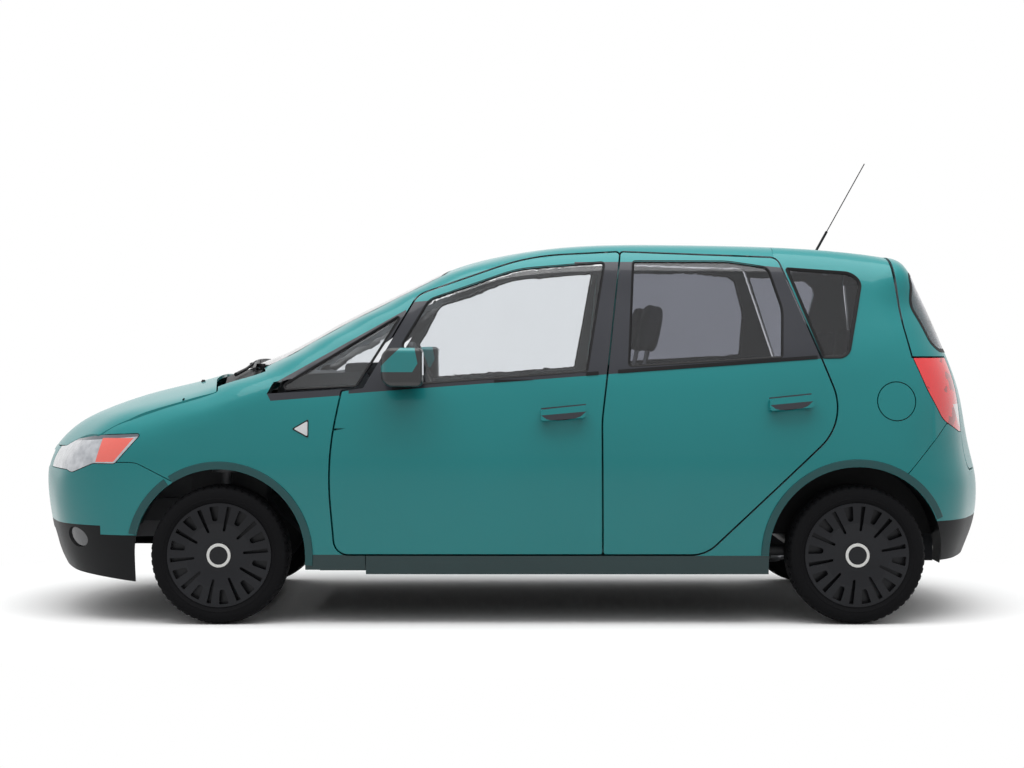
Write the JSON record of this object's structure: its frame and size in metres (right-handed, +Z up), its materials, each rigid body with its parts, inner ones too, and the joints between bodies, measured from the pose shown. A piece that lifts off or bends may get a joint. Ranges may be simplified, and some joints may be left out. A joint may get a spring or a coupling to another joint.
{
  "type": "hatchback car",
  "caption": "Compact five-door hatchback with opening doors, hood, tailgate and fuel flap, steered front wheels, a hollow cabin with seats, and covered steel wheels",
  "frame": {"origin": "on the ground, under the middle of the car's length and width", "axes": "X runs to the tail, Y to the car's right side, Z up"},
  "size_m": [3.9239, 2, 1.8751],
  "materials": {
    "paint": "metallic teal green paint",
    "black_trim": "grained black plastic",
    "grille_black": "satin black plastic",
    "wheel_cover": "satin black cover over a steel wheel",
    "tyre_rubber": "black tyre rubber",
    "window_glass": "clear green-tinted glass",
    "lamp_clear": "clear lamp lens",
    "lamp_red": "red lamp lens",
    "interior_plastic": "dark grained interior plastic",
    "seat_fabric": "woven dark grey seat fabric",
    "steel": "bare steel",
    "black_steel": "black chassis paint",
    "cast_metal": "cast engine and knuckle metal",
    "tank_plastic": "black moulded plastic"
  },
  "bodies": {
    "car_body": {"antenna": "black_trim", "cowl_panel": "black_trim", "dashboard": "interior_plastic", "engine_block": "cast_metal", "exhaust": "steel", "fixed_side_glass": "window_glass", "floor_pan": "black_steel", "front_bumper": "paint", "front_fenders": "paint", "front_frame": "black_steel", "front_grille": "grille_black", "front_lamps": "lamp_clear", "front_seats": "seat_fabric", "front_suspension": "black_steel", "front_valance": "black_trim", "fuel_tank": "tank_plastic", "quarter_panels": "paint", "radiator": "black_steel", "rear_axle": "black_steel", "rear_bumper": "paint", "rear_seat": "seat_fabric", "rear_valance": "black_trim", "roof_panel": "paint", "side_frames": "paint", "tail_lamps": "lamp_red", "wheel_wells": "tank_plastic", "windscreen": "window_glass", "wipers": "black_trim"},
    "front_door_left": {"front_door_left": "paint", "front_door_glass_left": "window_glass", "mirror_left": "black_trim"},
    "front_door_right": {"front_door_right": "paint", "front_door_glass_right": "window_glass", "mirror_right": "black_trim"},
    "rear_door_left": {"rear_door_left": "paint", "rear_door_glass_left": "window_glass"},
    "rear_door_right": {"rear_door_right": "paint", "rear_door_glass_right": "window_glass"},
    "tailgate": {"tailgate": "paint", "tailgate_glass": "window_glass"},
    "hood": {"hood": "paint"},
    "fuel_flap": {"fuel_flap": "paint"},
    "steering_wheel": {"steering_wheel": "interior_plastic"},
    "knuckle_left": {"knuckle_left": "cast_metal"},
    "knuckle_right": {"knuckle_right": "cast_metal"},
    "wheel_front_left": {"tyre_front_left": "tyre_rubber", "wheel_front_left": "wheel_cover"},
    "wheel_front_right": {"tyre_front_right": "tyre_rubber", "wheel_front_right": "wheel_cover"},
    "wheel_rear_left": {"tyre_rear_left": "tyre_rubber", "wheel_rear_left": "wheel_cover"},
    "wheel_rear_right": {"tyre_rear_right": "tyre_rubber", "wheel_rear_right": "wheel_cover"}
  },
  "joints": [
    {"name": "front_door_left_hinge", "type": "hinge", "parent": "car_body", "child": "front_door_left", "pos_m": [-0.64, -0.82768, 0.635], "axis": [0, 0, -1], "range_deg": [0, 65]},
    {"name": "front_door_right_hinge", "type": "hinge", "parent": "car_body", "child": "front_door_right", "pos_m": [-0.64, 0.82768, 0.635], "axis": [0, 0, 1], "range_deg": [0, 65]},
    {"name": "rear_door_left_hinge", "type": "hinge", "parent": "car_body", "child": "rear_door_left", "pos_m": [0.4235, -0.83265, 0.635], "axis": [0, 0, -1], "range_deg": [0, 65]},
    {"name": "rear_door_right_hinge", "type": "hinge", "parent": "car_body", "child": "rear_door_right", "pos_m": [0.4235, 0.83265, 0.635], "axis": [0, 0, 1], "range_deg": [0, 65]},
    {"name": "tailgate_hinge", "type": "hinge", "parent": "car_body", "child": "tailgate", "pos_m": [1.58019, 0, 1.43758], "axis": [0, -1, 0], "range_deg": [0, 80]},
    {"name": "hood_hinge", "type": "hinge", "parent": "car_body", "child": "hood", "pos_m": [-1.29996, 0, 0.87999], "axis": [0, 1, 0], "range_deg": [0, 50]},
    {"name": "fuel_flap_hinge", "type": "hinge", "parent": "car_body", "child": "fuel_flap", "pos_m": [1.39509, -0.79455, 0.87513], "axis": [0, 0, -1], "range_deg": [0, 85]},
    {"name": "steering_wheel_turn", "type": "hinge", "parent": "car_body", "child": "steering_wheel", "pos_m": [-0.335, -0.37, 0.93], "axis": [0.9063, 0, 0.4226], "range_deg": [-540, 540]},
    {"name": "steer_left", "type": "hinge", "parent": "car_body", "child": "knuckle_left", "pos_m": [-1.148, -0.69, 0.15], "axis": [0, 0.1824, 0.9832], "range_deg": [-33, 33]},
    {"name": "steer_right", "type": "hinge", "parent": "car_body", "child": "knuckle_right", "pos_m": [-1.148, 0.69, 0.15], "axis": [0, -0.1824, 0.9832], "range_deg": [-33, 33]},
    {"name": "wheel_front_left_spin", "type": "hinge", "parent": "knuckle_left", "child": "wheel_front_left", "pos_m": [-1.148, -0.725, 0.272], "axis": [0, 1, 0], "continuous": true},
    {"name": "wheel_front_right_spin", "type": "hinge", "parent": "knuckle_right", "child": "wheel_front_right", "pos_m": [-1.148, 0.725, 0.272], "axis": [0, 1, 0], "continuous": true},
    {"name": "wheel_rear_left_spin", "type": "hinge", "parent": "car_body", "child": "wheel_rear_left", "pos_m": [1.352, -0.725, 0.272], "axis": [0, 1, 0], "continuous": true},
    {"name": "wheel_rear_right_spin", "type": "hinge", "parent": "car_body", "child": "wheel_rear_right", "pos_m": [1.352, 0.725, 0.272], "axis": [0, 1, 0], "continuous": true}
  ],
  "couplings": [
    {"joint": "steer_right", "follows": "steer_left", "ratio": 1},
    {"joint": "steering_wheel_turn", "follows": "steer_left", "ratio": -16}
  ]
}
